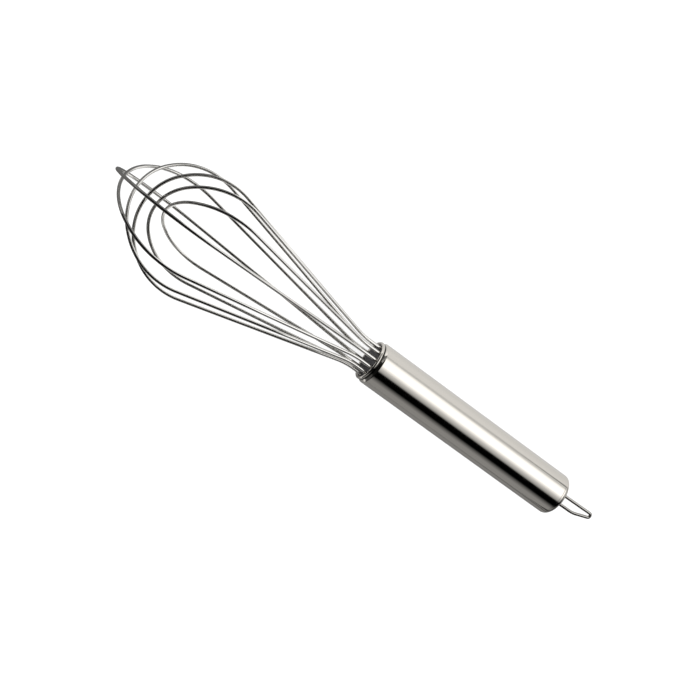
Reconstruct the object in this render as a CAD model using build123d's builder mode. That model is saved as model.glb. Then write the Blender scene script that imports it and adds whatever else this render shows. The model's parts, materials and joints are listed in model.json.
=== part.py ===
from build123d import *
import os
from math import cos, hypot, radians, sin, tan

# Balloon whisk with a tubular steel handle, lying on a worktop.
# Lengths are millimetres, angles are degrees.
# The whisk's own frame has x along its axis: zero at the handle's mouth, plus towards the wire tips.
# It stands over the middle of the whole length, with the worktop at zero height.

# Handle tube
tube_diameter = 19.0
tube_wall = 0.5
handle_length = 106.5          # from the lip to the flat of the butt

# Lip, rolled groove and shoulder at the mouth
bead_size = 1.3                # the rolled lip's section is a round of this size
bead_setback = 0.48            # the lip stands this much inside the tube's outer radius
groove_depth = 0.9
groove_width = 0.35
shoulder_length = 0.9
groove_corner = 0.15
shoulder_corner = 0.8

# Cap that closes the butt: a rounded end, flush with the tube, on a skirt inside it
cap_corner = 2.2
cap_band = 0.4                 # straight part of the cap before its corner
cap_face_wall = 0.9
cap_skirt = 6.0
cap_skirt_wall = 0.5
cap_to_tube = 0.03

# Wire of the six loops
wire_diameter = 1.4
wire_to_lip = 0.27             # gap between a leg and the inside of the lip

# Holder that takes the twelve legs, and the resin behind it
holder_setback = 0.3           # the holder's face lies this much inside the lip
holder_length = 14.0
holder_clearance = 0.05
hole_clearance = 0.05
seal_length = 6.0
tail_in_seal = 3.6
tail_end_gap = 0.3

# Wire loops, from the outermost to the innermost
loop_reach = 129.1             # the outermost loop's tip, from the mouth
loop_reach_shares = (1.0, 0.970, 0.922, 0.880, 0.842, 0.807)
tip_radius_shares = (0.187, 0.203, 0.209, 0.202, 0.204, 0.207)
leg_spread_angles = (14.4, 14.0, 13.7, 13.6, 13.5, 13.3)
loop_lean_angles = (-0.3, 0.0, 0.1, -0.7, 0.6, 0.4)      # in the loop's own plane
loop_sway_angles = (-1.0, 0.3, 0.1, 0.0, 0.5, 1.2)       # out of that plane
loop_turn_angles = (0.0, -33.0, -60.0, -84.9, -120.3, -144.9)
tip_slope_angle = 45.0         # where the belly arc hands over to the tip arc
flare_start = 8.0              # the legs turn outwards at this distance from the mouth
flare_radius = 30.0
arc_gap = 1.0                  # short straight between the belly arc and the tip arc

# How the loops are turned about the axis, from the sideways direction
first_loop_turn = -72.54
ring_twist = 16.5              # the holes are turned this much ahead of the first loop's belly

# Hanging loop
loop_wire = 1.4
eye_leg_spread = 4.2           # between the centre lines of its legs
eye_length = 19.3              # from the butt to the centre line of its end
eye_end_share = 0.44           # width of the pinched end, of the leg spread
eye_bend_share = 0.59          # where the curved leg turns in, of the eye's length
eye_end_radius = 0.9
eye_bend_radius = 12.0
eye_lean = 1.2
eye_turn = 201.8
foot_reach = 4.9               # from the axis to the end of each foot
foot_bend = 1.0
foot_gap = 0.3
swivel_clearance = 0.2

# How the whisk lies: its axis rises towards the tip
lie_tilt = 5.174

# Derived sizes
tube_radius = tube_diameter / 2
bore_radius = tube_radius - tube_wall
bead_radius = bead_size / 2
bead_centre = tube_radius - bead_setback - bead_radius
lip_bore = bead_centre - bead_radius
wire_radius = wire_diameter / 2
ring_radius = lip_bore - wire_to_lip - wire_radius
groove_radius = tube_radius - groove_depth
groove_bore = groove_radius - tube_wall
groove_end = bead_size + groove_width
shoulder_end = groove_end + shoulder_length
step_start = groove_end + tube_wall / 2
step_end = step_start + shoulder_length
holder_radius = bore_radius - holder_clearance
nose_radius = lip_bore - holder_clearance
holder_step = -(step_end + holder_clearance)
holder_back = -(holder_setback + holder_length)
seal_back = holder_back - seal_length
tail_end = holder_back - tail_in_seal
loop_wire_radius = loop_wire / 2
cap_start = cap_corner + cap_band - handle_length
cap_inside = cap_face_wall - handle_length
skirt_end = cap_start + cap_skirt
skirt_radius = bore_radius - cap_to_tube
skirt_bore = skirt_radius - cap_skirt_wall
foot_line = cap_inside + foot_gap + loop_wire_radius
eye_half = eye_leg_spread / 2
swivel_hole = eye_half + loop_wire_radius + swivel_clearance
butt_round_radius = tube_radius - cap_corner
butt_round_back = handle_length - cap_corner
tip_half = loop_reach + wire_radius
butt_half = handle_length + eye_length + loop_wire_radius
mouth_place = (butt_half - tip_half) / 2 * cos(radians(lie_tilt))
mouth_height = (
    butt_round_back * sin(radians(lie_tilt))
    + butt_round_radius * cos(radians(lie_tilt))
    + cap_corner
)

# Planes and the axis line
whisk = Plane(
    origin=(mouth_place, 0, mouth_height),
    x_dir=(cos(radians(lie_tilt)), 0, sin(radians(lie_tilt))),
    z_dir=(-sin(radians(lie_tilt)), 0, cos(radians(lie_tilt))),
)
axis_line = Axis(whisk.origin, whisk.x_dir)
profile_plane = Plane(origin=whisk.origin, x_dir=whisk.x_dir, z_dir=-whisk.y_dir)


def across(x):
    """Plane square to the axis at x, looking towards the tip."""
    return Plane(
        origin=whisk.from_local_coords((x, 0, 0)),
        x_dir=whisk.y_dir,
        z_dir=whisk.x_dir,
    )


def around(x, radius, turn):
    """Point at x, a radius away from the axis and turned about it."""
    return (x, radius * cos(radians(turn)), radius * sin(radians(turn)))


def tipped(x, radius, turn, lean, sway):
    """The same point, after its loop leans in its own plane and sways out of it."""
    out = x * sin(radians(lean)) + radius * cos(radians(lean))
    along = x * cos(radians(lean)) - radius * sin(radians(lean))
    aside = along * sin(radians(sway))
    side_turn = radians(turn) + radians(90)
    at = around(along * cos(radians(sway)), out, turn)
    return (at[0], at[1] + aside * cos(side_turn), at[2] + aside * sin(side_turn))


def loop_route(reach, tip_radius, spread, lean, sway, belly_turn, leg_turn):
    """Corners and corner radii of one wire loop, from tail to tail."""
    tip_corner = reach - tip_radius + tip_radius / sin(radians(tip_slope_angle))
    belly_x = (
        tip_corner * tan(radians(tip_slope_angle)) - ring_radius + flare_start * tan(radians(spread))
    ) / (tan(radians(spread)) + tan(radians(tip_slope_angle)))
    belly_out = (tip_corner - belly_x) * tan(radians(tip_slope_angle))
    run = hypot(tip_corner - belly_x, belly_out) - tip_radius / tan(radians(tip_slope_angle))
    belly_radius = (run - arc_gap) / tan(radians((spread + tip_slope_angle) / 2))
    corners = [
        around(tail_end, ring_radius, leg_turn),
        around(flare_start, ring_radius, leg_turn),
        tipped(belly_x, belly_out, belly_turn, lean, sway),
        tipped(tip_corner, 0, belly_turn, lean, sway),
        tipped(belly_x, -belly_out, belly_turn, lean, sway),
        around(flare_start, -ring_radius, leg_turn),
        around(tail_end, -ring_radius, leg_turn),
    ]
    radii = [flare_radius, belly_radius, tip_radius, belly_radius, flare_radius]
    return corners, radii


os.makedirs("parts", exist_ok=True)

# Handle tube: a thin wall with a rolled bead, a groove and a rounded shoulder
with BuildPart() as handle_tube:
    with BuildSketch(profile_plane):
        with BuildLine():
            outside = FilletPolyline(
                (-bead_radius, groove_radius),
                (-groove_end, groove_radius),
                (-shoulder_end, tube_radius),
                (cap_start, tube_radius),
                radius=[groove_corner, shoulder_corner],
            )
            inside = FilletPolyline(
                (-bead_radius, groove_bore),
                (-step_start, groove_bore),
                (-step_end, bore_radius),
                (cap_start, bore_radius),
                radius=[groove_corner, shoulder_corner],
            )
            Line(outside @ 0, inside @ 0)
            Line(outside @ 1, inside @ 1)
        make_face()
        with Locations((-bead_radius, bead_centre)):
            Circle(bead_radius)
    revolve(axis=axis_line)
handle_tube.part.label = "handle_tube"
export_step(handle_tube.part, "parts/handle_tube.step")

# End cap: a pressed cap with a rounded edge, a skirt inside the tube and the swivel's hole
with BuildPart() as end_cap:
    with BuildSketch(profile_plane):
        with BuildLine():
            skin = FilletPolyline(
                (cap_start, tube_radius),
                (-handle_length, tube_radius),
                (-handle_length, swivel_hole),
                radius=[cap_corner],
            )
            lining = FilletPolyline(
                (skirt_end, skirt_bore),
                (cap_inside, skirt_bore),
                (cap_inside, swivel_hole),
                radius=[cap_corner - cap_skirt_wall],
            )
            Polyline(
                skin @ 0,
                (cap_start, skirt_radius),
                (skirt_end, skirt_radius),
                lining @ 0,
            )
            Line(skin @ 1, lining @ 1)
        make_face()
    revolve(axis=axis_line)
end_cap.part.label = "end_cap"
export_step(end_cap.part, "parts/end_cap.step")

# Hanging loop: one bent wire, with its two feet spread behind the cap's face
eye_plane = Plane(
    origin=whisk.origin,
    x_dir=whisk.x_dir,
    z_dir=whisk.x_dir.cross(
        whisk.y_dir * cos(radians(eye_turn)) + whisk.z_dir * sin(radians(eye_turn))
    ),
)
eye_end = -(handle_length + eye_length)
eye_bend = eye_length * eye_bend_share
end_lean = eye_length * tan(radians(eye_lean))
bend_lean = eye_bend * tan(radians(eye_lean))
with BuildPart() as hanging_loop:
    with BuildLine(eye_plane) as eye_route:
        FilletPolyline(
            (foot_line, foot_reach),
            (foot_line, eye_half),
            (eye_end, eye_half + end_lean),
            (eye_end, eye_half + end_lean - eye_leg_spread * eye_end_share),
            (-handle_length - eye_bend, -eye_half + bend_lean),
            (foot_line, -eye_half),
            (foot_line, -foot_reach),
            radius=[foot_bend, eye_end_radius, eye_end_radius, eye_bend_radius, foot_bend],
        )
    with BuildSketch(Plane(origin=eye_route.line @ 0, z_dir=eye_route.line % 0)):
        Circle(loop_wire_radius)
    sweep(path=eye_route.line)
hanging_loop.part.label = "hanging_loop"
export_step(hanging_loop.part, "parts/hanging_loop.step")

# Wire holder: a stepped plug that fills the mouth, with a hole for each leg
leg_count = 2 * len(loop_turn_angles)
with BuildPart() as wire_holder:
    with BuildSketch(across(holder_back)):
        Circle(holder_radius)
    extrude(amount=holder_step - holder_back)
    with BuildSketch(across(holder_step)):
        Circle(nose_radius)
    extrude(amount=-holder_setback - holder_step)
    with BuildSketch(across(holder_back)):
        with PolarLocations(ring_radius, leg_count, start_angle=first_loop_turn + ring_twist):
            Circle(wire_radius + hole_clearance)
    extrude(amount=holder_length, mode=Mode.SUBTRACT)
wire_holder.part.label = "wire_holder"
export_step(wire_holder.part, "parts/wire_holder.step")

# Resin seal: poured behind the holder round the ends of the legs
with BuildPart() as resin_seal:
    with BuildSketch(across(seal_back)):
        Circle(holder_radius)
    extrude(amount=seal_length)
    with BuildSketch(across(tail_end - tail_end_gap)):
        with PolarLocations(ring_radius, leg_count, start_angle=first_loop_turn + ring_twist):
            Circle(wire_radius + hole_clearance)
    extrude(amount=tail_in_seal + tail_end_gap, mode=Mode.SUBTRACT)
resin_seal.part.label = "resin_seal"
export_step(resin_seal.part, "parts/resin_seal.step")

# Wire loops: each runs out of its two holes, spreads, and closes in a round tip
leg_step = 360 / leg_count
shapes = zip(loop_reach_shares, tip_radius_shares, leg_spread_angles)
stances = zip(loop_lean_angles, loop_sway_angles, loop_turn_angles)
loops = zip(shapes, stances)
for number, ((reach_share, radius_share, spread), (lean, sway, turn)) in enumerate(loops):
    reach = loop_reach * reach_share
    corners, radii = loop_route(
        reach,
        reach * radius_share,
        spread,
        lean,
        sway,
        first_loop_turn + turn,
        first_loop_turn + ring_twist - number * leg_step,
    )
    with BuildPart() as wire_loop:
        with BuildLine(whisk) as wire_route:
            FilletPolyline(*corners, radius=radii)
        with BuildSketch(Plane(origin=wire_route.line @ 0, z_dir=wire_route.line % 0)):
            Circle(wire_radius)
        sweep(path=wire_route.line)
    wire_loop.part.label = f"wire_loop_{number + 1}"
    export_step(wire_loop.part, f"parts/wire_loop_{number + 1}.step")
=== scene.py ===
"""Balloon whisk of polished steel wire, dressed and lit round its fixed frame.

Lengths in the dataclasses are millimetres and angles are degrees. Meshes are modelled in the
whisk's own frame, with x along its axis from the handle's mouth towards the wire tips, and are
then laid on the worktop in metres.
"""

import json
import logging
import math
from collections.abc import Iterable, Iterator, Sequence
from dataclasses import dataclass, field
from enum import Enum
from typing import ClassVar

import bpy
from mathutils import Matrix, Vector


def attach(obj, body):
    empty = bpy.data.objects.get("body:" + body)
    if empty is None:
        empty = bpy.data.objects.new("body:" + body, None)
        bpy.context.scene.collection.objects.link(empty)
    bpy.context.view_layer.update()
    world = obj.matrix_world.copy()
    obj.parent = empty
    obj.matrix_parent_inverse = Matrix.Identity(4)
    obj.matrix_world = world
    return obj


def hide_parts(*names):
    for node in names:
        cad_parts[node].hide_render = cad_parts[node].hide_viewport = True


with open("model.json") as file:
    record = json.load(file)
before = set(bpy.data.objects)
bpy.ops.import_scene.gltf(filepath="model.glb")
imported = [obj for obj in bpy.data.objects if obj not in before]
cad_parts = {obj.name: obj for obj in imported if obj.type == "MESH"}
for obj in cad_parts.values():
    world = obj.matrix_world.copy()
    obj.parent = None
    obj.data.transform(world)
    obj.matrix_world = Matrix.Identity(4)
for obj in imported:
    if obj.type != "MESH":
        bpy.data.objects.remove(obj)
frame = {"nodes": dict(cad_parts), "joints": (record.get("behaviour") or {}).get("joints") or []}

LOG = logging.getLogger("whisk")
MM = 0.001
IMAGE_SIDE = 679                # pixels of the square photograph
SENSOR_WIDTH = 36.0
MERGE_DISTANCE = 0.002          # mm, vertices nearer than this are one
SMOOTH_ANGLE = 32.0             # edges that turn further stay crisp
ALONG = Vector((1, 0, 0))       # the whisk's axis in its own frame


class Body(Enum):
    """The bodies that pieces ride on."""

    WHISK = "whisk"
    HANGING_LOOP = "hanging_loop"


class Slot(Enum):
    """The material slots of the record."""

    SATIN_STEEL = "satin_steel"
    BRIGHT_WIRE = "bright_wire"
    PLUG_PLASTIC = "plug_plastic"
    RESIN = "resin"


class Ray(Enum):
    """Kinds of ray that a shader can tell apart, by the output's name."""

    CAMERA = "Is Camera Ray"
    GLOSSY = "Is Glossy Ray"
    TRANSMISSION = "Is Transmission Ray"


@dataclass(frozen=True)
class Turn:
    """One arc of a route.

    Args:
        centre: Centre of the arc.
        axis: Unit axis that the arc turns about, by the right-hand rule.
        angle: How far it turns, in radians.
    """

    centre: Vector
    axis: Vector
    angle: float


@dataclass(frozen=True)
class Route:
    """Straight runs between corners, each corner rounded by a tangent arc.

    Args:
        corners: The first point, the corners and the last point, in mm.
        radii: A radius for each corner between the two ends; zero leaves it sharp.
    """

    corners: Sequence[Vector]
    radii: Sequence[float]

    def moves(self) -> Iterator[Vector | Turn]:
        """Walk the route from its first point.

        Returns:
            Straight moves as vectors and arcs as turns, in order.
        """
        place = self.corners[0]
        for before, corner, after, radius in zip(
            self.corners, self.corners[1:], self.corners[2:], self.radii
        ):
            into = (corner - before).normalized()
            out = (after - corner).normalized()
            angle = into.angle(out)
            setback = radius * math.tan(angle / 2)
            yield corner - into * setback - place
            place = corner
            if radius:
                axis = into.cross(out).normalized()
                centre = corner - into * setback + axis.cross(into) * radius
                yield Turn(centre, axis, angle)
                place = corner + out * setback
        yield self.corners[-1] - place


class Bench:
    """Blender's modelling operators, used as by hand in the whisk's own frame."""

    finest_step = math.radians(3.0)

    def __init__(self) -> None:
        """Find where the whisk lies from the hanging loop's joint."""
        joint = frame["joints"][0]
        axis = Vector(joint["axis"]).normalized()
        across = Vector((0, 1, 0))
        handle = HandleSizes()
        mouth = Vector(joint["pos_m"]) + axis * (handle.length - handle.cap_face_wall / 2) * MM
        turn = Matrix((axis, across, axis.cross(across))).transposed().to_4x4()
        self.lie = Matrix.Translation(mouth) @ turn

    @staticmethod
    def clear() -> None:
        """Leave edit mode with nothing selected."""
        if bpy.context.object and bpy.context.object.mode != "OBJECT":
            bpy.ops.object.mode_set(mode="OBJECT")
        bpy.ops.object.select_all(action="DESELECT")

    def dot(self, place: Vector) -> bpy.types.Object:
        """Start a piece as one selected vertex, in edit mode.

        Args:
            place: Where the vertex stands, in mm.

        Returns:
            The new object.
        """
        self.clear()
        bpy.ops.mesh.primitive_plane_add(size=MM, location=(0, 0, 0))
        bpy.ops.object.mode_set(mode="EDIT")
        bpy.ops.mesh.select_mode(type="VERT")
        bpy.ops.mesh.select_all(action="SELECT")
        bpy.ops.mesh.merge(type="CENTER")
        bpy.ops.transform.translate(value=place * MM)
        return bpy.context.object

    def ring(self, place: Vector, facing: Vector, radius: float, sides: int) -> bpy.types.Object:
        """Start a piece as one selected ring of edges, in edit mode.

        Args:
            place: Centre of the ring, in mm.
            facing: Direction that the ring's plane is square to.
            radius: Radius in mm.
            sides: Number of edges.

        Returns:
            The new object.
        """
        self.clear()
        bpy.ops.mesh.primitive_circle_add(
            vertices=sides,
            radius=radius * MM,
            fill_type="NOTHING",
            location=place * MM,
            rotation=facing.to_track_quat("Z", "Y").to_euler(),
        )
        bpy.ops.object.transform_apply(location=True, rotation=True, scale=True)
        bpy.ops.object.mode_set(mode="EDIT")
        bpy.ops.mesh.select_mode(type="VERT")
        bpy.ops.mesh.select_all(action="SELECT")
        return bpy.context.object

    def follow(self, moves: Iterable[Vector | Turn]) -> None:
        """Extrude the selection along straight moves and spin it round arcs.

        Args:
            moves: Moves in mm, as Route.moves gives them.
        """
        for move in moves:
            if isinstance(move, Turn):
                bpy.ops.mesh.spin(
                    steps=max(3, math.ceil(abs(move.angle) / self.finest_step)),
                    angle=-move.angle,
                    center=move.centre * MM,
                    axis=move.axis,
                )
            elif move.length > MERGE_DISTANCE:
                bpy.ops.mesh.extrude_region_move(TRANSFORM_OT_translate={"value": move * MM})

    def lathe(self, steps: int) -> None:
        """Spin the whole drawn outline once round the whisk's axis and close the seam.

        Args:
            steps: Number of steps round.
        """
        self.weld()
        bpy.ops.mesh.spin(steps=steps, angle=math.tau, center=(0, 0, 0), axis=ALONG)
        self.weld()

    def turned(self, outline: Route, steps: int) -> bpy.types.Object:
        """Draw an outline and lathe it.

        Args:
            outline: The outline in the plane of x and z.
            steps: Number of steps round.

        Returns:
            The new object, in edit mode.
        """
        piece = self.dot(outline.corners[0])
        self.follow(outline.moves())
        self.lathe(steps)
        return piece

    def wire(self, route: Route, radius: float, sides: int) -> bpy.types.Object:
        """Draw a round wire with flat ends along a route.

        Args:
            route: Centre line of the wire.
            radius: Radius of the wire in mm.
            sides: Number of sides of its section.

        Returns:
            The new object, in edit mode.
        """
        start = (route.corners[1] - route.corners[0]).normalized()
        wire = self.ring(route.corners[0], start, radius, sides)
        bpy.ops.mesh.edge_face_add()
        bpy.ops.mesh.select_mode(type="FACE")
        self.follow(route.moves())
        return wire

    @staticmethod
    def weld() -> None:
        """Merge what coincides, with everything selected."""
        bpy.ops.mesh.select_all(action="SELECT")
        bpy.ops.mesh.remove_doubles(threshold=MERGE_DISTANCE * MM)

    def finish(self, piece: bpy.types.Object, name: str) -> bpy.types.Object:
        """Close a piece's shading, lay it on the worktop and name it.

        Args:
            piece: The object that was modelled.
            name: The name that it gets.

        Returns:
            The same object, at the origin with its place in its mesh.
        """
        bpy.context.view_layer.objects.active = piece
        if piece.mode != "EDIT":
            bpy.ops.object.mode_set(mode="EDIT")
        bpy.ops.mesh.select_all(action="SELECT")
        bpy.ops.mesh.normals_make_consistent(inside=False)
        self.clear()
        piece.select_set(True)
        bpy.ops.object.shade_smooth_by_angle(angle=math.radians(SMOOTH_ANGLE))
        piece.matrix_world = self.lie
        bpy.ops.object.transform_apply(location=True, rotation=True, scale=True)
        piece.name = name
        piece.data.name = name
        self.clear()
        return piece


@dataclass(frozen=True)
class HandleSizes:
    """Sizes of the handle tube, its lip and the cap that closes its butt, in mm."""

    radius: float = 9.5
    wall: float = 0.5
    length: float = 106.5
    bead_radius: float = 0.65
    bead_setback: float = 0.48
    groove_depth: float = 0.9
    groove_width: float = 0.35
    shoulder_length: float = 0.9
    groove_corner: float = 0.15
    shoulder_corner: float = 0.8
    cap_corner: float = 2.2
    cap_band: float = 0.4
    cap_face_wall: float = 0.9
    cap_skirt: float = 6.0
    cap_skirt_wall: float = 0.5
    cap_to_tube: float = 0.03
    seam_round: float = 0.12
    hole_round: float = 0.2

    @property
    def bead_centre(self) -> float:
        """Radius at which the bead's section is centred."""
        return self.radius - self.bead_setback - self.bead_radius

    @property
    def lip_bore(self) -> float:
        """Radius of the opening inside the bead."""
        return self.bead_centre - self.bead_radius

    @property
    def groove_radius(self) -> float:
        """Outer radius at the bottom of the rolled groove."""
        return self.radius - self.groove_depth

    @property
    def groove_end(self) -> float:
        """How far the groove's bottom reaches behind the mouth."""
        return 2 * self.bead_radius + self.groove_width

    @property
    def cap_start(self) -> float:
        """Place along the axis where the tube ends and the cap begins."""
        return self.cap_corner + self.cap_band - self.length


@dataclass(frozen=True)
class WireSizes:
    """Sizes of the wire loops and the holder that takes their legs, in mm and degrees."""

    radius: float = 0.7
    to_lip: float = 0.27
    reach: float = 129.1
    reach_shares: tuple[float, ...] = (1.0, 0.970, 0.922, 0.880, 0.842, 0.807)
    tip_radius_shares: tuple[float, ...] = (0.187, 0.203, 0.209, 0.202, 0.204, 0.207)
    spreads: tuple[float, ...] = (14.4, 14.0, 13.7, 13.6, 13.5, 13.3)
    leans: tuple[float, ...] = (-0.3, 0.0, 0.1, -0.7, 0.6, 0.4)
    sways: tuple[float, ...] = (-1.0, 0.3, 0.1, 0.0, 0.5, 1.2)
    turns: tuple[float, ...] = (0.0, -33.0, -60.0, -84.9, -120.3, -144.9)
    first_turn: float = -72.54
    ring_twist: float = 16.5
    tip_slope: float = 45.0
    flare_start: float = 8.0
    flare_radius: float = 30.0
    arc_gap: float = 1.0
    holder_setback: float = 0.3
    holder_length: float = 14.0
    holder_clearance: float = 0.05
    hole_clearance: float = 0.05
    tail_in_seal: float = 3.6
    sides: int = 24

    @property
    def holder_back(self) -> float:
        """Place along the axis of the holder's back face."""
        return -(self.holder_setback + self.holder_length)

    @property
    def leg_ring(self) -> float:
        """Radius of the circle on which the legs stand."""
        return HandleSizes().lip_bore - self.to_lip - self.radius

    @property
    def first_hole(self) -> float:
        """Angle of the first leg's hole about the axis."""
        return self.first_turn + self.ring_twist

    @property
    def hole_step(self) -> float:
        """Angle from one hole to the next."""
        return 180.0 / len(self.turns)


@dataclass(frozen=True)
class EyeSizes:
    """Sizes of the hanging loop at the butt, in mm and degrees."""

    wire_radius: float = 0.7
    leg_spread: float = 4.2
    length: float = 19.3
    end_share: float = 0.44
    bend_share: float = 0.59
    end_radius: float = 0.9
    bend_radius: float = 12.0
    lean: float = 1.2
    turn: float = 201.8
    foot_reach: float = 4.9
    foot_bend: float = 1.0
    foot_gap: float = 0.3
    swivel_clearance: float = 0.2
    sides: int = 32

    @property
    def swivel_hole(self) -> float:
        """Radius of the hole in the cap."""
        return self.leg_spread / 2 + self.wire_radius + self.swivel_clearance


class Shader:
    """A small helper that lays out and joins the nodes of one material or world."""

    def __init__(self, tree: bpy.types.NodeTree) -> None:
        """Empty the tree.

        Args:
            tree: The node tree to build in.
        """
        self.tree = tree
        tree.nodes.clear()

    def add(self, kind: str, **settings: object) -> bpy.types.Node:
        """Add a node and set its properties.

        Args:
            kind: The node's type, without its ShaderNode prefix.
            settings: Properties of the node itself.

        Returns:
            The new node.
        """
        node = self.tree.nodes.new("ShaderNode" + kind)
        for name, value in settings.items():
            setattr(node, name, value)
        return node

    def join(self, source: bpy.types.NodeSocket, target: bpy.types.NodeSocket) -> None:
        """Link an output to an input."""
        self.tree.links.new(source, target)

    def maths(self, operation: str, *values: object) -> bpy.types.NodeSocket:
        """Add a Math node.

        Args:
            operation: Name of the operation.
            values: Numbers or output sockets, in the order of the node's inputs.

        Returns:
            The node's output.
        """
        node = self.add("Math", operation=operation)
        for socket, value in zip(node.inputs, values):
            if isinstance(value, bpy.types.NodeSocket):
                self.join(value, socket)
            else:
                socket.default_value = value
        return node.outputs[0]

    def blend(
        self,
        mode: str,
        share: bpy.types.NodeSocket | float,
        first: bpy.types.NodeSocket,
        second: bpy.types.NodeSocket,
    ) -> bpy.types.NodeSocket:
        """Mix two colours.

        Args:
            mode: Blend type of the node.
            share: How much of the second colour comes in.
            first: First colour.
            second: Second colour.

        Returns:
            The mixed colour.
        """
        node = self.add("MixRGB", blend_type=mode)
        if isinstance(share, bpy.types.NodeSocket):
            self.join(share, node.inputs["Fac"])
        else:
            node.inputs["Fac"].default_value = share
        self.join(first, node.inputs["Color1"])
        self.join(second, node.inputs["Color2"])
        return node.outputs[0]

    def ramp(
        self, factor: bpy.types.NodeSocket, stops: Sequence[tuple[float, tuple[float, ...]]]
    ) -> bpy.types.NodeSocket:
        """Add a Color Ramp node.

        Args:
            factor: Output that drives it.
            stops: Places from zero to one, each with its linear colour.

        Returns:
            The colour output.
        """
        node = self.add("ValToRGB")
        elements = node.color_ramp.elements
        while len(elements) < len(stops):
            elements.new(1.0)
        for element, (place, colour) in zip(elements, stops):
            element.position = place
            element.color = (*colour, 1.0)
        self.join(factor, node.inputs[0])
        return node.outputs[0]


@dataclass(frozen=True)
class SteelFinish:
    """Polished stainless steel with the fine lines that its polishing left.

    Args:
        name: Name of the material.
        colour: Linear colour of the metal.
        roughness: Roughness where the polish is best.
        roughness_gain: How much rougher the dullest spots are.
        lines_per_mm: Polishing lines in a millimetre across them.
        stretch: How many times longer than wide a line is.
        relief: Depth of the lines in mm.
        groove: Where the rolled groove's bottom gets painted shade, from and to along the axis in
            mm.
    """

    name: str
    colour: tuple[float, float, float]
    roughness: float
    roughness_gain: float
    lines_per_mm: float
    stretch: float
    relief: float
    groove: tuple[float, float] | None = None

    LINE_DETAIL: ClassVar[float] = 3.0
    HAZE_DETAIL: ClassVar[float] = 2.0
    LINES_PER_SPOT: ClassVar[float] = 40.0
    SPOT_GAIN: ClassVar[float] = 2.0        # two noises multiplied seldom pass a half
    GROOVE_SHADE_SHARE: ClassVar[float] = 0.04      # brightness of the painted shade, of the metal's
    GROOVE_SHADE_EDGE: ClassVar[tuple[float, float]] = (0.8, 1.2)   # of the groove's half width

    def material(self, lie: Matrix) -> bpy.types.Material:
        """Make the material.

        Args:
            lie: How the whisk lies, so that the lines run along its axis.

        Returns:
            The new material.
        """
        material = bpy.data.materials.new(self.name)
        material.use_nodes = True
        shader = Shader(material.node_tree)
        output = shader.add("OutputMaterial")
        steel = shader.add("BsdfPrincipled")
        steel.inputs["Base Color"].default_value = (*self.colour, 1.0)
        steel.inputs["Metallic"].default_value = 1.0
        place = shader.add("TexCoord")
        mapping = shader.add("Mapping")
        mapping.inputs["Rotation"].default_value = lie.inverted().to_euler()
        shader.join(place.outputs["Object"], mapping.inputs["Vector"])
        stretch = shader.add("Mapping")
        stretch.inputs["Scale"].default_value = (1 / self.stretch, 1.0, 1.0)
        shader.join(mapping.outputs["Vector"], stretch.inputs["Vector"])
        lines = shader.add("TexNoise", noise_dimensions="3D")
        lines.inputs["Scale"].default_value = self.lines_per_mm / MM
        lines.inputs["Detail"].default_value = self.LINE_DETAIL
        shader.join(stretch.outputs["Vector"], lines.inputs["Vector"])
        haze = shader.add("TexNoise", noise_dimensions="3D")
        haze.inputs["Scale"].default_value = self.lines_per_mm / MM / self.LINES_PER_SPOT
        haze.inputs["Detail"].default_value = self.HAZE_DETAIL
        shader.join(mapping.outputs["Vector"], haze.inputs["Vector"])
        spots = shader.maths("MULTIPLY", lines.outputs["Fac"], haze.outputs["Fac"])
        gain = self.roughness_gain * self.SPOT_GAIN
        rough = shader.maths("MULTIPLY_ADD", spots, gain, self.roughness)
        shader.join(rough, steel.inputs["Roughness"])
        bump = shader.add("Bump")
        bump.inputs["Strength"].default_value = 1.0
        bump.inputs["Distance"].default_value = self.relief * MM
        shader.join(lines.outputs["Fac"], bump.inputs["Height"])
        shader.join(bump.outputs["Normal"], steel.inputs["Normal"])
        # Painted shade: the base colour is darkened in the groove's bottom, standing in for the
        # shade in the crease.
        if self.groove:
            self.paint_groove_shade(shader, steel, place, lie)
        shader.join(steel.outputs["BSDF"], output.inputs["Surface"])
        return material

    def paint_groove_shade(
        self, shader: Shader, steel: bpy.types.Node, place: bpy.types.Node, lie: Matrix
    ) -> None:
        """Paint shade into the groove's bottom by darkening the base colour there.

        Args:
            shader: Helper of the material's tree.
            steel: The surface's node.
            place: Its texture coordinates.
            lie: How the whisk lies.
        """
        axis = (lie.to_3x3() @ ALONG).normalized()
        along = shader.add("VectorMath", operation="DOT_PRODUCT")
        shader.join(place.outputs["Object"], along.inputs[0])
        along.inputs[1].default_value = axis
        start, end = self.groove
        middle, reach = (start + end) / 2, (end - start) / 2
        offset = axis.dot(lie.translation) + middle * MM
        away = shader.maths("ABSOLUTE", shader.maths("SUBTRACT", along.outputs["Value"], offset))
        share = shader.maths("DIVIDE", away, 2 * reach * MM)
        # The painted shade's colour: the metal's colour at a small share.
        groove_shade = tuple(channel * self.GROOVE_SHADE_SHARE for channel in self.colour)
        unshaded_from, unshaded_to = (edge / 2 for edge in self.GROOVE_SHADE_EDGE)
        colour = shader.ramp(share, ((unshaded_from, groove_shade), (unshaded_to, self.colour)))
        shader.join(colour, steel.inputs["Base Color"])


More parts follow.
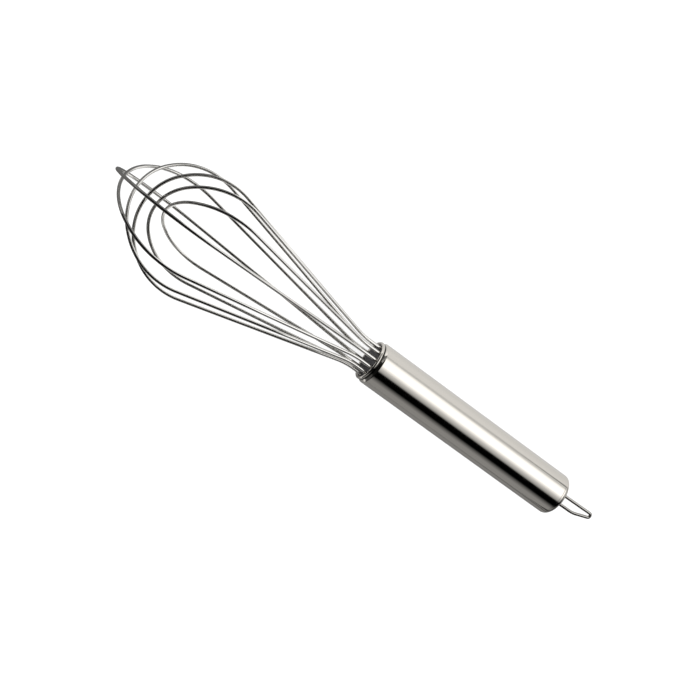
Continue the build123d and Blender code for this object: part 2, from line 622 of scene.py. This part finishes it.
@dataclass(frozen=True)
class MouldedFinish:
    """Moulded plastic or set resin, faintly mottled.

    Args:
        name: Name of the material.
        colour: Linear base colour.
        dark_share: Brightness of the darkest mottle, of the base colour.
        roughness: Mean roughness.
        grain_mm: Size of the mottle in mm.
        relief: Depth of the grain in mm.
    """

    name: str
    colour: tuple[float, float, float]
    dark_share: float
    roughness: float
    grain_mm: float
    relief: float

    GRAIN_DETAIL: ClassVar[float] = 4.0
    MOTTLE_EDGE: ClassVar[tuple[float, float]] = (0.35, 0.65)
    ROUGHNESS_SPAN: ClassVar[float] = 0.2

    def material(self) -> bpy.types.Material:
        """Make the material and return it."""
        material = bpy.data.materials.new(self.name)
        material.use_nodes = True
        shader = Shader(material.node_tree)
        output = shader.add("OutputMaterial")
        body = shader.add("BsdfPrincipled")
        place = shader.add("TexCoord")
        grain = shader.add("TexNoise", noise_dimensions="3D")
        grain.inputs["Scale"].default_value = 1 / (self.grain_mm * MM)
        grain.inputs["Detail"].default_value = self.GRAIN_DETAIL
        shader.join(place.outputs["Object"], grain.inputs["Vector"])
        dark = tuple(channel * self.dark_share for channel in self.colour)
        mottle = zip(self.MOTTLE_EDGE, (dark, self.colour))
        colour = shader.ramp(grain.outputs["Fac"], tuple(mottle))
        shader.join(colour, body.inputs["Base Color"])
        smoothest = self.roughness - self.ROUGHNESS_SPAN / 2
        rough = shader.maths(
            "MULTIPLY_ADD", grain.outputs["Fac"], self.ROUGHNESS_SPAN, smoothest
        )
        shader.join(rough, body.inputs["Roughness"])
        bump = shader.add("Bump")
        bump.inputs["Distance"].default_value = self.relief * MM
        shader.join(grain.outputs["Fac"], bump.inputs["Height"])
        shader.join(bump.outputs["Normal"], body.inputs["Normal"])
        shader.join(body.outputs["BSDF"], output.inputs["Surface"])
        return material


HANDLE_COLOUR = (0.85, 0.812, 0.75)
TUBE_STEEL = SteelFinish(
    name="polished_tube",
    colour=HANDLE_COLOUR,
    roughness=0.07,
    roughness_gain=0.06,
    lines_per_mm=14.0,
    stretch=60.0,
    relief=0.0006,
    # span of painted shade in the rolled groove, along the axis in mm
    groove=(-1.8, -1.05),
)
CAP_STEEL = SteelFinish(
    name="polished_cap",
    colour=HANDLE_COLOUR,
    roughness=0.06,
    roughness_gain=0.06,
    lines_per_mm=14.0,
    stretch=12.0,
    relief=0.0005,
)
WIRE_STEEL = SteelFinish(
    name="drawn_wire",
    colour=(0.90, 0.885, 0.85),
    roughness=0.04,
    roughness_gain=0.04,
    lines_per_mm=18.0,
    stretch=30.0,
    relief=0.0003,
)
# The hanging loop's steel is the wires' steel with its colour darkened: painted shade, a shaded
# copy of one metal.
SHADED_EYE_STEEL = SteelFinish(
    name="drawn_eye_painted_shade",
    colour=(0.56, 0.54, 0.51),
    roughness=0.04,
    roughness_gain=0.03,
    lines_per_mm=18.0,
    stretch=30.0,
    relief=0.0003,
)
PLUG = MouldedFinish(
    name="plug_plastic",
    colour=(0.032, 0.030, 0.034),
    dark_share=0.6,
    roughness=0.38,
    grain_mm=0.5,
    relief=0.02,
)
RESIN = MouldedFinish(
    name="set_resin",
    colour=(0.36, 0.27, 0.13),
    dark_share=0.8,
    roughness=0.3,
    grain_mm=1.5,
    relief=0.05,
)


def grey(level: float) -> tuple[float, float, float, float]:
    """Return the opaque grey of a linear brightness."""
    return (level, level, level, 1.0)


def hand_over(
    piece: bpy.types.Object, material: bpy.types.Material, body: Body, slot: Slot, node: str
) -> None:
    """Dress a finished piece and let it stand for its node.

    Args:
        piece: The finished piece.
        material: Its material.
        body: The body that it rides on.
        slot: The record's slot that its finish comes from; not used.
        node: The node that it replaces.
    """
    piece.data.materials.clear()
    piece.data.materials.append(material)
    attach(piece, body.value)
    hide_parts(node)
    LOG.info("%s: %d faces, in place of %s", piece.name, len(piece.data.polygons), node)


def section(x: float, radius: float) -> Vector:
    """Return a point of an outline that is lathed round the axis."""
    return Vector((x, 0, radius))


@dataclass
class Handle:
    """The handle: a tube with a rolled lip, and the pressed cap that closes its butt."""

    bench: Bench
    sizes: HandleSizes = field(default_factory=HandleSizes)
    steps: int = 192

    def build(self) -> None:
        """Model both pieces and hand them over."""
        tube = self.tube()
        hand_over(
            tube, TUBE_STEEL.material(self.bench.lie), Body.WHISK, Slot.SATIN_STEEL, "handle_tube"
        )
        cap = self.cap()
        hand_over(
            cap, CAP_STEEL.material(self.bench.lie), Body.WHISK, Slot.SATIN_STEEL, "end_cap"
        )

    def tube(self) -> bpy.types.Object:
        """Lathe the tube from the outline of its wall, with the bead at the lip.

        Returns:
            The finished piece.
        """
        size = self.sizes
        bore = size.radius - size.wall
        groove_bore = size.groove_radius - size.wall
        step_start = size.groove_end + size.wall / 2
        centre = section(-size.bead_radius, size.bead_centre)
        outer = self.bead_meets(size.groove_radius)
        inner = self.bead_meets(groove_bore)
        sweep = math.tau - (outer - centre).angle(inner - centre)
        piece = self.bench.dot(outer)
        self.bench.follow([Turn(centre, Vector((0, 1, 0)), sweep)])
        wall = Route(
            (
                inner,
                section(-step_start, groove_bore),
                section(-step_start - size.shoulder_length, bore),
                section(size.cap_start, bore),
                section(size.cap_start, size.radius),
                section(-size.groove_end - size.shoulder_length, size.radius),
                section(-size.groove_end, size.groove_radius),
                outer,
            ),
            (
                size.groove_corner,
                size.shoulder_corner,
                0,
                size.seam_round,
                size.shoulder_corner,
                size.groove_corner,
            ),
        )
        self.bench.follow(wall.moves())
        self.bench.lathe(self.steps)
        return self.bench.finish(piece, "handle_tube_polished")

    def bead_meets(self, radius: float) -> Vector:
        """Find where the back of the bead meets a wall at a radius from the axis.

        Args:
            radius: The wall's radius in mm.

        Returns:
            The point of the outline.
        """
        size = self.sizes
        rise = radius - size.bead_centre
        return section(-size.bead_radius - math.sqrt(size.bead_radius**2 - rise**2), radius)

    def cap(self) -> bpy.types.Object:
        """Lathe the pressed cap with its skirt and the hole for the hanging loop.

        Returns:
            The finished piece.
        """
        size = self.sizes
        hole = EyeSizes().swivel_hole
        inside = size.cap_face_wall - size.length
        skirt = size.radius - size.wall - size.cap_to_tube
        lining = skirt - size.cap_skirt_wall
        outline = Route(
            (
                section(size.cap_start, skirt),
                section(size.cap_start, size.radius),
                section(-size.length, size.radius),
                section(-size.length, hole),
                section(inside, hole),
                section(inside, lining),
                section(size.cap_start + size.cap_skirt, lining),
                section(size.cap_start + size.cap_skirt, skirt),
                section(size.cap_start, skirt),
            ),
            (
                size.seam_round,
                size.cap_corner,
                size.hole_round,
                size.hole_round,
                size.cap_corner - size.cap_skirt_wall,
                0,
                0,
            ),
        )
        return self.bench.finish(self.bench.turned(outline, self.steps), "end_cap_polished")


@dataclass
class WireLoops:
    """The six wire loops that make the balloon."""

    bench: Bench
    sizes: WireSizes = field(default_factory=WireSizes)

    def build(self) -> None:
        """Model every loop and hand it over."""
        material = WIRE_STEEL.material(self.bench.lie)
        for number in range(len(self.sizes.turns)):
            name = f"wire_loop_{number + 1}"
            loop = self.bench.wire(self.route(number), self.sizes.radius, self.sizes.sides)
            hand_over(
                self.bench.finish(loop, name + "_drawn"),
                material,
                Body.WHISK,
                Slot.BRIGHT_WIRE,
                name,
            )

    def route(self, number: int) -> Route:
        """Work out the centre line of one loop, from tail to tail.

        Args:
            number: The loop's place, from zero at the outermost.

        Returns:
            The route in mm.
        """
        size = self.sizes
        reach = size.reach * size.reach_shares[number]
        tip_radius = reach * size.tip_radius_shares[number]
        spread = math.radians(size.spreads[number])
        slope = math.radians(size.tip_slope)
        tip = reach - tip_radius + tip_radius / math.sin(slope)
        belly = (
            tip * math.tan(slope) - size.leg_ring + size.flare_start * math.tan(spread)
        ) / (math.tan(spread) + math.tan(slope))
        belly_out = (tip - belly) * math.tan(slope)
        run = math.hypot(tip - belly, belly_out) - tip_radius / math.tan(slope)
        belly_radius = (run - size.arc_gap) / math.tan((spread + slope) / 2)
        tail = size.holder_back - size.tail_in_seal
        leg_turn = size.first_hole - number * size.hole_step
        corners = (
            self.around(tail, size.leg_ring, leg_turn),
            self.around(size.flare_start, size.leg_ring, leg_turn),
            self.tipped(number, belly, belly_out),
            self.tipped(number, tip, 0),
            self.tipped(number, belly, -belly_out),
            self.around(size.flare_start, -size.leg_ring, leg_turn),
            self.around(tail, -size.leg_ring, leg_turn),
        )
        radii = (size.flare_radius, belly_radius, tip_radius, belly_radius, size.flare_radius)
        return Route(corners, radii)

    def tipped(self, number: int, x: float, radius: float) -> Vector:
        """Place a belly or tip corner, with the loop's lean in its plane and sway out of it.

        Args:
            number: The loop's place.
            x: Distance along the axis before it leans.
            radius: Distance from the axis before it leans.

        Returns:
            The point in mm.
        """
        lean = math.radians(self.sizes.leans[number])
        sway = math.radians(self.sizes.sways[number])
        turn = self.sizes.first_turn + self.sizes.turns[number]
        out = x * math.sin(lean) + radius * math.cos(lean)
        along = x * math.cos(lean) - radius * math.sin(lean)
        aside = self.around(0, along * math.sin(sway), turn + 90)
        return self.around(along * math.cos(sway), out, turn) + aside

    @staticmethod
    def around(x: float, radius: float, turn: float) -> Vector:
        """Return the point at x that lies a radius from the axis, turned about it."""
        angle = math.radians(turn)
        return Vector((x, radius * math.cos(angle), radius * math.sin(angle)))


@dataclass
class HangingLoop:
    """The bent wire loop that swivels in the cap."""

    bench: Bench
    sizes: EyeSizes = field(default_factory=EyeSizes)

    def build(self) -> None:
        """Model the loop and hand it over."""
        loop = self.bench.wire(self.route(), self.sizes.wire_radius, self.sizes.sides)
        hand_over(
            self.bench.finish(loop, "hanging_loop_bent"),
            SHADED_EYE_STEEL.material(self.bench.lie),
            Body.HANGING_LOOP,
            Slot.BRIGHT_WIRE,
            "hanging_loop",
        )

    def route(self) -> Route:
        """Work out the centre line, from foot to foot.

        Returns:
            The route in mm.
        """
        size = self.sizes
        handle = HandleSizes()
        turn = math.radians(size.turn)
        across = Vector((0, math.cos(turn), math.sin(turn)))
        half = size.leg_spread / 2
        lean = math.tan(math.radians(size.lean))
        foot = handle.cap_face_wall - handle.length + size.foot_gap + size.wire_radius
        end = -(handle.length + size.length)
        bend = size.length * size.bend_share
        outline = (
            (foot, size.foot_reach),
            (foot, half),
            (end, half + size.length * lean),
            (end, half + size.length * lean - size.leg_spread * size.end_share),
            (-handle.length - bend, bend * lean - half),
            (foot, -half),
            (foot, -size.foot_reach),
        )
        corners = tuple(ALONG * x + across * aside for x, aside in outline)
        radii = (
            size.foot_bend,
            size.end_radius,
            size.end_radius,
            size.bend_radius,
            size.foot_bend,
        )
        return Route(corners, radii)


@dataclass
class WireHolder:
    """The moulded plug that fills the mouth and holds the twelve legs."""

    bench: Bench
    sizes: WireSizes = field(default_factory=WireSizes)
    steps: int = 96
    rim_round: float = 0.15
    dimple_depth: float = 0.35
    dimple_gap: float = 0.22

    def build(self) -> None:
        """Model the plug, cut its holes and hand it over, and dress the resin behind it."""
        plug = self.plug()
        self.cut(plug, self.drills())
        hand_over(
            self.bench.finish(plug, "wire_holder_moulded"),
            PLUG.material(),
            Body.WHISK,
            Slot.PLUG_PLASTIC,
            "wire_holder",
        )
        resin = frame["nodes"]["resin_seal"]
        for slot in resin.material_slots:
            slot.material = RESIN.material()
        LOG.info("resin_seal: dressed as it is")

    def plug(self) -> bpy.types.Object:
        """Lathe the stepped plug.

        Returns:
            The object, without its holes.
        """
        size = self.sizes
        handle = HandleSizes()
        wide = handle.radius - handle.wall - size.holder_clearance
        nose = handle.lip_bore - size.holder_clearance
        step_end = handle.groove_end + handle.wall / 2 + handle.shoulder_length
        step = -(step_end + size.holder_clearance)
        outline = Route(
            (
                section(-size.holder_setback, 0),
                section(-size.holder_setback, nose),
                section(step, nose),
                section(step, wide),
                section(size.holder_back, wide),
                section(size.holder_back, 0),
            ),
            (self.rim_round, 0, self.rim_round, self.rim_round),
        )
        piece = self.bench.turned(outline, self.steps)
        bpy.ops.mesh.normals_make_consistent(inside=False)
        self.bench.clear()
        return piece

    def drills(self) -> bpy.types.Object:
        """Model one drill with a flared mouth and copy it to every hole.

        Returns:
            All the drills as one object.
        """
        size = self.sizes
        hole = size.radius + size.hole_clearance
        back = size.holder_back - size.radius
        front = -size.holder_setback
        outline = Route(
            (
                section(back, 0),
                section(back, hole),
                section(front - self.dimple_depth, hole),
                section(front, hole + self.dimple_gap),
                section(size.radius, hole + self.dimple_gap),
                section(size.radius, 0),
            ),
            (0, 0, 0, 0),
        )
        piece = self.bench.turned(outline, size.sides)
        bpy.ops.mesh.normals_make_consistent(inside=False)
        bpy.ops.transform.translate(
            value=WireLoops.around(0, size.leg_ring, size.first_hole) * MM
        )
        for _ in range(2 * len(size.turns) - 1):
            bpy.ops.mesh.duplicate()
            bpy.ops.transform.rotate(
                value=-math.radians(size.hole_step),
                orient_axis="X",
                center_override=(0, 0, 0),
            )
        self.bench.clear()
        return piece

    def cut(self, piece: bpy.types.Object, cutter: bpy.types.Object) -> None:
        """Cut one object out of another and delete the cutter.

        Args:
            piece: What is cut.
            cutter: What cuts it.
        """
        piece.select_set(True)
        bpy.context.view_layer.objects.active = piece
        boolean = piece.modifiers.new("holes", "BOOLEAN")
        boolean.operation = "DIFFERENCE"
        boolean.solver = "EXACT"
        boolean.object = cutter
        bpy.ops.object.modifier_apply(modifier=boolean.name)
        self.bench.clear()
        bpy.data.objects.remove(cutter, do_unlink=True)


@dataclass(frozen=True)
class Studio:
    """A pale worktop, a soft room and the photograph's camera.

    Args:
        camera_place: Where the camera stands, in mm.
        camera_azimuth: Where it looks, in degrees from x towards y.
        camera_dip: How far it looks down, in degrees.
        camera_roll: How far it is rolled, in degrees.
        focal_pixels: Focal length in pixels of the photograph.
        clip: The nearest and farthest that it sees, in mm.
        lamp_place: Where the soft lamp hangs, in mm; it faces the whisk.
        lamp_sides: The lamp's sides in mm.
        lamp_power: The lamp's power in watts.
        floor_side: Side of the floor in mm.
        floor_drop: How far the floor lies under the whisk, in mm.
        floor_grey: Brightness of the floor's paint, which takes the shadow.
        floor_glow: How bright the floor shines by itself.
        flag_grey: Brightness of the flags' cloth.
        bands: Brightness of the room that the handle faces, by the angle round the whisk's
            axis from the far horizon, over the top, to the near horizon: the far wall, a
            dark gap, the soft box and the near wall.
        room_share: What the bands are multiplied by, by how far the ray leans along the
            axis, from the butt to the wire tips: the room beyond the tips is darker.
        floor_reach: Half the span in mm over which the floor's tones are given.
        handle_floor: How bright the floor looks in steel round the handle, by y in mm: painted
            light falling off to a painted shadow beside the handle.
        balloon_floor: The same round the balloon.
        balloon_share: How much of the balloon's floor shows, by x in mm.
        floor_fade: What both floors are multiplied by, by x in mm; its dips are painted shade.
        flags: Two corners and the height of each black flag, in mm.
    """

    camera_place: tuple[float, float, float] = (164.746, -219.962, 590.894)
    camera_azimuth: float = 124.4105
    camera_dip: float = 64.9074
    camera_roll: float = -173.785
    focal_pixels: float = 1544.86
    clip: tuple[float, float] = (10.0, 20000.0)
    lamp_place: tuple[float, float, float] = (100.0, -350.0, 900.0)
    lamp_sides: tuple[float, float] = (900.0, 700.0)
    lamp_power: float = 14.0
    floor_side: float = 6000.0
    floor_drop: float = 0.02
    floor_grey: float = 0.3
    floor_glow: float = 0.8
    flag_grey: float = 0.004
    bands: tuple[tuple[float, float], ...] = (
        (0, 0.26),
        (30, 0.26),
        (58, 0.0),
        (89, 0.0),
        (97, 0.35),
        (112, 0.65),
        (130, 1.35),
        (160, 1.35),
        (171, 1.0),
        (177, 0.55),
        (180, 0.55),
    )
    room_share: tuple[tuple[float, float], ...] = (
        (-1.0, 0.25),
        (-0.84, 0.35),
        (-0.7, 0.7),
        (-0.56, 1.0),
        (-0.32, 1.0),
        (-0.1, 0.25),
    )
    floor_reach: float = 250.0
    handle_floor: tuple[tuple[float, float], ...] = (
        (-40, 0.74),
        (-12, 0.66),
        (0, 0.4),
        (12, 0.14),
        (40, 0.24),
    )
    balloon_floor: tuple[tuple[float, float], ...] = ((-40, 1.0), (0, 0.92), (40, 0.8))
    balloon_share: tuple[tuple[float, float], ...] = ((16, 0.0), (44, 1.0))
    floor_fade: tuple[tuple[float, float], ...] = (
        (-200, 1.0),
        (-184, 0.12),
        (-152, 0.12),
        (-136, 1.0),
        (84, 1.0),
        (106, 0.15),
    )
    flags: tuple[tuple[tuple[float, float], tuple[float, float], float], ...] = (
        ((-20.0, -230.0), (340.0, 110.0), 120.0),
        ((-140.0, -9.0), (-111.0, 90.0), 20.0),
    )

    @staticmethod
    def greys(
        levels: Sequence[tuple[float, float]], start: float, end: float
    ) -> list[tuple[float, tuple[float, float, float]]]:
        """Turn places and brightnesses into the stops of a grey ramp.

        Args:
            levels: Pairs of a place and a linear brightness.
            start: The place at the ramp's start.
            end: The place at the ramp's end.

        Returns:
            Stops from zero to one with grey colours.
        """
        return [((place - start) / (end - start), (level,) * 3) for place, level in levels]

    def build(self) -> None:
        """Set up the view, the room, the floor, the lamp and the camera."""
        bpy.context.scene.view_settings.view_transform = "Standard"
        self.room()
        self.floor()
        for near, far, height in self.flags:
            self.flag(near, far, height)
        self.lamp()
        self.camera()

    @staticmethod
    def sees_background(shader: Shader) -> bpy.types.NodeSocket:
        """Return an output that is one for camera and transmission rays."""
        path = shader.add("LightPath")
        return shader.maths(
            "MAXIMUM", path.outputs[Ray.CAMERA.value], path.outputs[Ray.TRANSMISSION.value]
        )

    def room(self) -> None:
        """Light the room by bands round the whisk's axis, and leave it white to the camera."""
        world = bpy.data.worlds.new("room")
        bpy.context.scene.world = world
        world.use_nodes = True
        shader = Shader(world.node_tree)
        output = shader.add("OutputWorld")
        place = shader.add("TexCoord")
        parts = shader.add("SeparateXYZ")
        shader.join(place.outputs["Generated"], parts.inputs[0])
        angle = shader.maths("ARCTAN2", parts.outputs["Z"], parts.outputs["Y"])
        factor = shader.maths("DIVIDE", shader.maths("ABSOLUTE", angle), math.pi)
        along = shader.add("VectorMath", operation="DOT_PRODUCT")
        shader.join(place.outputs["Generated"], along.inputs[0])
        along.inputs[1].default_value = ALONG
        reach = shader.maths("MULTIPLY_ADD", along.outputs["Value"], 0.5, 0.5)
        room = shader.blend(
            "MULTIPLY",
            1.0,
            shader.ramp(factor, self.greys(self.bands, 0, 180)),
            shader.ramp(reach, self.greys(self.room_share, -1, 1)),
        )
        soft = shader.add("Background")
        shader.join(room, soft.inputs["Color"])
        white = shader.add("Background")
        white.inputs["Color"].default_value = grey(1.0)
        mix = shader.add("MixShader")
        shader.join(self.sees_background(shader), mix.inputs[0])
        shader.join(soft.outputs[0], mix.inputs[1])
        shader.join(white.outputs[0], mix.inputs[2])
        shader.join(mix.outputs[0], output.inputs["Surface"])

    def floor(self) -> None:
        """Lay a floor that looks white, keeps a soft shadow and shows painted grey tones in
        steel.
        """
        Bench.clear()
        bpy.ops.mesh.primitive_plane_add(
            size=self.floor_side * MM, location=(0, 0, -self.floor_drop * MM)
        )
        floor = bpy.context.object
        floor.name = "floor"
        material = bpy.data.materials.new("floor")
        material.use_nodes = True
        shader = Shader(material.node_tree)
        output = shader.add("OutputMaterial")
        lit = shader.add("BsdfDiffuse")
        lit.inputs["Color"].default_value = grey(self.floor_grey)
        glow = shader.add("Emission")
        glow.inputs["Color"].default_value = grey(1.0)
        glow.inputs["Strength"].default_value = self.floor_glow
        white = shader.add("AddShader")
        shader.join(lit.outputs[0], white.inputs[0])
        shader.join(glow.outputs[0], white.inputs[1])
        place = shader.add("TexCoord")
        parts = shader.add("SeparateXYZ")
        shader.join(place.outputs["Object"], parts.inputs[0])
        ends = (-self.floor_reach, self.floor_reach)
        scale = 0.5 / (self.floor_reach * MM)
        across = shader.maths("MULTIPLY_ADD", parts.outputs["Y"], scale, 0.5)
        along = shader.maths("MULTIPLY_ADD", parts.outputs["X"], scale, 0.5)
        # Painted light and shade, with a painted shadow beside the handle: only glossy rays see
        # these tones, while other rays see the lit white floor and its real shadow.
        tones = shader.blend(
            "MIX",
            shader.ramp(along, self.greys(self.balloon_share, *ends)),
            shader.ramp(across, self.greys(self.handle_floor, *ends)),
            shader.ramp(across, self.greys(self.balloon_floor, *ends)),
        )
        toned = shader.blend(
            "MULTIPLY", 1.0, tones, shader.ramp(along, self.greys(self.floor_fade, *ends))
        )
        seen = shader.add("Emission")
        shader.join(toned, seen.inputs["Color"])
        path = shader.add("LightPath")
        mix = shader.add("MixShader")
        shader.join(path.outputs[Ray.GLOSSY.value], mix.inputs[0])
        shader.join(white.outputs[0], mix.inputs[1])
        shader.join(seen.outputs[0], mix.inputs[2])
        shader.join(mix.outputs[0], output.inputs["Surface"])
        floor.data.materials.append(material)

    def flag(
        self, near: tuple[float, float], far: tuple[float, float], height: float
    ) -> None:
        """Hang a level black flag that only reflections see.

        Args:
            near: Its corner with the lowest x and y, in mm.
            far: The opposite corner.
            height: Height over the worktop in mm.
        """
        Bench.clear()
        width, depth = far[0] - near[0], far[1] - near[1]
        middle = Vector((near[0] + width / 2, near[1] + depth / 2, height))
        bpy.ops.mesh.primitive_plane_add(size=MM, location=middle * MM)
        flag = bpy.context.object
        flag.name = "flag"
        flag.scale = (width, depth, 1.0)
        bpy.ops.object.transform_apply(location=False, rotation=False, scale=True)
        material = bpy.data.materials.new("black_cloth")
        material.use_nodes = True
        shader = Shader(material.node_tree)
        output = shader.add("OutputMaterial")
        cloth = shader.add("BsdfDiffuse")
        cloth.inputs["Color"].default_value = grey(self.flag_grey)
        shader.join(cloth.outputs[0], output.inputs["Surface"])
        flag.data.materials.append(material)
        flag.visible_camera = False
        flag.visible_diffuse = False
        flag.visible_shadow = False

    def lamp(self) -> None:
        """Hang a large soft lamp that lights dull surfaces and casts the soft shadow."""
        data = bpy.data.lights.new("soft_lamp", "AREA")
        data.shape = "RECTANGLE"
        data.size, data.size_y = (side * MM for side in self.lamp_sides)
        data.energy = self.lamp_power
        lamp = bpy.data.objects.new("soft_lamp", data)
        lamp.location = Vector(self.lamp_place) * MM
        lamp.rotation_euler = (-lamp.location).to_track_quat("-Z", "Y").to_euler()
        lamp.visible_glossy = False
        lamp.visible_camera = False
        bpy.context.scene.collection.objects.link(lamp)

    def camera(self) -> None:
        """Place the camera where the photograph was taken from."""
        azimuth = math.radians(self.camera_azimuth)
        dip = math.radians(self.camera_dip)
        roll = math.radians(self.camera_roll)
        forward = Vector(
            (
                math.cos(dip) * math.cos(azimuth),
                math.cos(dip) * math.sin(azimuth),
                -math.sin(dip),
            )
        )
        level = forward.cross(Vector((0, 0, 1))).normalized()
        above = level.cross(forward)
        right = level * math.cos(roll) + above * math.sin(roll)
        up = right.cross(forward)
        data = bpy.data.cameras.new("camera")
        data.sensor_width = SENSOR_WIDTH
        data.lens = self.focal_pixels / IMAGE_SIDE * SENSOR_WIDTH
        data.clip_start, data.clip_end = (reach * MM for reach in self.clip)
        camera = bpy.data.objects.new("camera", data)
        turn = Matrix((right, up, -forward)).transposed().to_4x4()
        camera.matrix_world = Matrix.Translation(Vector(self.camera_place) * MM) @ turn
        bpy.context.scene.collection.objects.link(camera)
        bpy.context.scene.camera = camera


def main() -> None:
    """Build every sub-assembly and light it."""
    logging.basicConfig(level=logging.INFO, format="%(name)s: %(message)s")
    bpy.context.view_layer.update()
    bench = Bench()
    Handle(bench).build()
    WireHolder(bench).build()
    WireLoops(bench).build()
    HangingLoop(bench).build()
    Studio().build()


if __name__ == "__main__":
    main()
